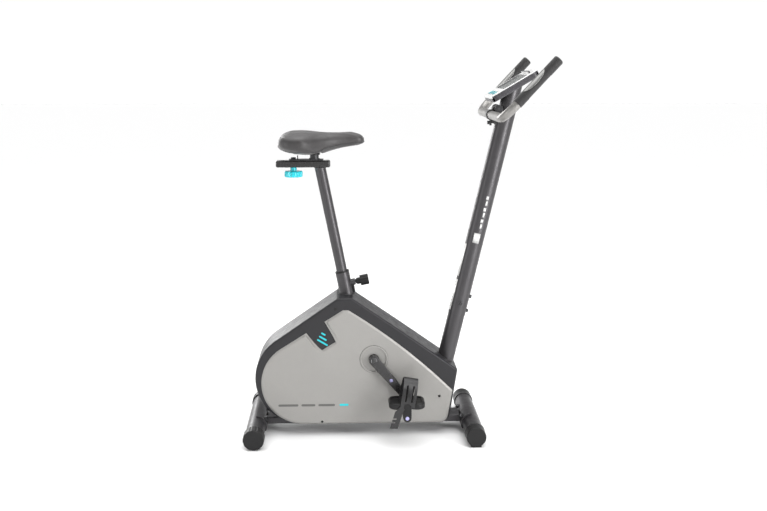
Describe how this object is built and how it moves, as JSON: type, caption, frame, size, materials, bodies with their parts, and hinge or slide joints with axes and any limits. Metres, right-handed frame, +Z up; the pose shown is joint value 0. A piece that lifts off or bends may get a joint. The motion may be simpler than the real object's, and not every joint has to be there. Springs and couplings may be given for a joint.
{
  "type": "exercise bike",
  "caption": "Upright exercise bike with a belt-driven magnetic flywheel in a two-shell housing, strapped pedals, an adjustable saddle, a U-shaped handlebar and a console.",
  "frame": {"origin": "on the floor, under the centre of the bounding box", "axes": "+X is the way the rider faces, +Y is the rider's left, +Z is up"},
  "size_m": [0.9821, 0.5716, 1.2411],
  "materials": {
    "frame_paint": "gloss charcoal enamel",
    "bar_paint": "satin light grey enamel",
    "clamp_paint": "satin black enamel",
    "shell_plastic": "moulded near-black, satin gloss",
    "panel_plastic": "moulded silver grey, fine sparkle",
    "black_plastic": "moulded, fine texture",
    "teal_plastic": "moulded teal",
    "strap_rubber": "matt",
    "grip_foam": "soft matt foam",
    "belt_rubber": "ribbed",
    "zinc_steel": "zinc plated",
    "dark_steel": "black oxide",
    "iron": "machined rim",
    "magnet_steel": "pressed sheet",
    "pulse_steel": "brushed stainless",
    "console_light": "moulded white",
    "console_dark": "moulded charcoal",
    "button_plastic": "moulded teal",
    "lens": "tinted clear cover",
    "saddle_skin": "soft vinyl, matt",
    "motor_case": "moulded gearbox case"
  },
  "bodies": {
    "frame": {"main_beam": "frame_paint", "foot_plates": "frame_paint", "foot_tubes": "frame_paint", "foot_bolts": "dark_steel", "front_foot_caps": "black_plastic", "seat_tube": "frame_paint", "post_bushing": "black_plastic", "lower_mast": "frame_paint", "upper_mast": "frame_paint", "mast_bolts": "dark_steel", "crank_support": "frame_paint", "crank_bearings": "zinc_steel", "flywheel_plates": "frame_paint", "flywheel_axle": "zinc_steel", "drive_belt": "belt_rubber", "idler_bracket": "magnet_steel", "brake_cable": "zinc_steel", "tension_motor": "motor_case", "right_shell": "shell_plastic", "left_shell": "shell_plastic", "right_panel": "panel_plastic", "left_panel": "panel_plastic", "shell_screws": "dark_steel", "clamp_base": "clamp_paint", "clamp_strap": "clamp_paint", "clamp_pins": "dark_steel", "console_back": "console_dark", "console_front": "console_light", "console_lens": "lens"},
    "crank": {"crank_axle": "zinc_steel", "right_crank": "clamp_paint", "left_crank": "clamp_paint", "pedal_spindles": "zinc_steel", "drive_pulley": "black_plastic"},
    "right_pedal": {"right_pedal": "black_plastic", "right_strap": "strap_rubber"},
    "left_pedal": {"left_pedal": "black_plastic", "left_strap": "strap_rubber"},
    "flywheel": {"flywheel": "iron", "flywheel_pulley": "zinc_steel"},
    "idler": {"idler_pulley": "black_plastic"},
    "brake": {"magnet_bracket": "magnet_steel"},
    "spool": {"cable_spool": "black_plastic"},
    "seat_post": {"seat_post": "frame_paint", "seat_rail": "clamp_paint"},
    "saddle": {"slider": "dark_steel", "saddle_base": "black_plastic", "saddle_cushion": "saddle_skin"},
    "slider_knob": {"slider_knob": "teal_plastic"},
    "lock_knob": {"lock_knob": "black_plastic"},
    "right_rear_cap": {"right_rear_cap": "black_plastic"},
    "left_rear_cap": {"left_rear_cap": "black_plastic"},
    "right_roller": {"right_roller": "strap_rubber"},
    "left_roller": {"left_roller": "strap_rubber"},
    "handlebar": {"handlebar": "bar_paint", "grips": "grip_foam", "pulse_plates": "pulse_steel"},
    "right_button": {"right_button": "button_plastic"},
    "middle_button": {"middle_button": "button_plastic"},
    "left_button": {"left_button": "button_plastic"}
  },
  "joints": [
    {"name": "flywheel_turn", "type": "hinge", "parent": "frame", "child": "flywheel", "pos_m": [-0.301, 0, 0.196], "axis": [0, 1, 0], "continuous": true},
    {"name": "crank_turn", "type": "hinge", "parent": "frame", "child": "crank", "pos_m": [-0.067, 0, 0.262], "axis": [0, 1, 0], "continuous": true},
    {"name": "idler_turn", "type": "hinge", "parent": "frame", "child": "idler", "pos_m": [-0.19538, 0.032, 0.145], "axis": [0, 1, 0], "continuous": true},
    {"name": "right_pedal_turn", "type": "hinge", "parent": "crank", "child": "right_pedal", "pos_m": [0.03585, 0, 0.13943], "axis": [0, 1, 0], "continuous": true},
    {"name": "left_pedal_turn", "type": "hinge", "parent": "crank", "child": "left_pedal", "pos_m": [-0.16985, 0, 0.38457], "axis": [0, 1, 0], "continuous": true},
    {"name": "brake_swing", "type": "hinge", "parent": "frame", "child": "brake", "pos_m": [-0.361, 0, 0.309], "axis": [0, -1, 0], "range_deg": [0, 5], "deforming": ["brake_cable"]},
    {"name": "spool_turn", "type": "hinge", "parent": "frame", "child": "spool", "pos_m": [-0.2452, 0, 0.374], "axis": [0, -1, 0], "range_deg": [0, 90]},
    {"name": "seat_height", "type": "slide", "parent": "frame", "child": "seat_post", "axis": [-0.1959, 0, 0.9806], "range_m": [-0.16, 0.06]},
    {"name": "saddle_slide", "type": "slide", "parent": "seat_post", "child": "saddle", "axis": [1, 0, 0], "range_m": [-0.03, 0.03]},
    {"name": "slider_knob_turn", "type": "hinge", "parent": "saddle", "child": "slider_knob", "pos_m": [-0.325, 0, 0.866], "axis": [0, 0, -1], "range_deg": [0, 720]},
    {"name": "post_lock_pull", "type": "slide", "parent": "frame", "child": "lock_knob", "axis": [0.9806, 0, 0.1959], "range_m": [0, 0.01], "stiffness_N_per_m": 900, "springref_m": -0.006},
    {"name": "right_levelling_turn", "type": "hinge", "parent": "frame", "child": "right_rear_cap", "pos_m": [-0.457, -0.1935, 0.034], "axis": [0, 1, 0], "range_deg": [-180, 180]},
    {"name": "left_levelling_turn", "type": "hinge", "parent": "frame", "child": "left_rear_cap", "pos_m": [-0.457, 0.1935, 0.034], "axis": [0, 1, 0], "range_deg": [-180, 180]},
    {"name": "right_roller_turn", "type": "hinge", "parent": "frame", "child": "right_roller", "pos_m": [0.2595, -0.16475, 0.034], "axis": [0, 1, 0], "continuous": true},
    {"name": "left_roller_turn", "type": "hinge", "parent": "frame", "child": "left_roller", "pos_m": [0.2595, 0.16475, 0.034], "axis": [0, 1, 0], "continuous": true},
    {"name": "handlebar_tilt", "type": "hinge", "parent": "frame", "child": "handlebar", "pos_m": [0.317, 0, 1.056], "axis": [0, 1, 0], "range_deg": [-12, 12]},
    {"name": "right_button_press", "type": "slide", "parent": "frame", "child": "right_button", "axis": [0.5075, 0, -0.8616], "range_m": [0, 0.0015], "stiffness_N_per_m": 350, "springref_m": -0.0005},
    {"name": "middle_button_press", "type": "slide", "parent": "frame", "child": "middle_button", "axis": [0.5075, 0, -0.8616], "range_m": [0, 0.0015], "stiffness_N_per_m": 350, "springref_m": -0.0005},
    {"name": "left_button_press", "type": "slide", "parent": "frame", "child": "left_button", "axis": [0.5075, 0, -0.8616], "range_m": [0, 0.0015], "stiffness_N_per_m": 350, "springref_m": -0.0005}
  ],
  "couplings": [
    {"joint": "crank_turn", "follows": "flywheel_turn", "ratio": 0.2},
    {"joint": "idler_turn", "follows": "flywheel_turn", "ratio": -1.4667},
    {"joint": "spool_turn", "follows": "brake_swing", "ratio": 14.2}
  ]
}
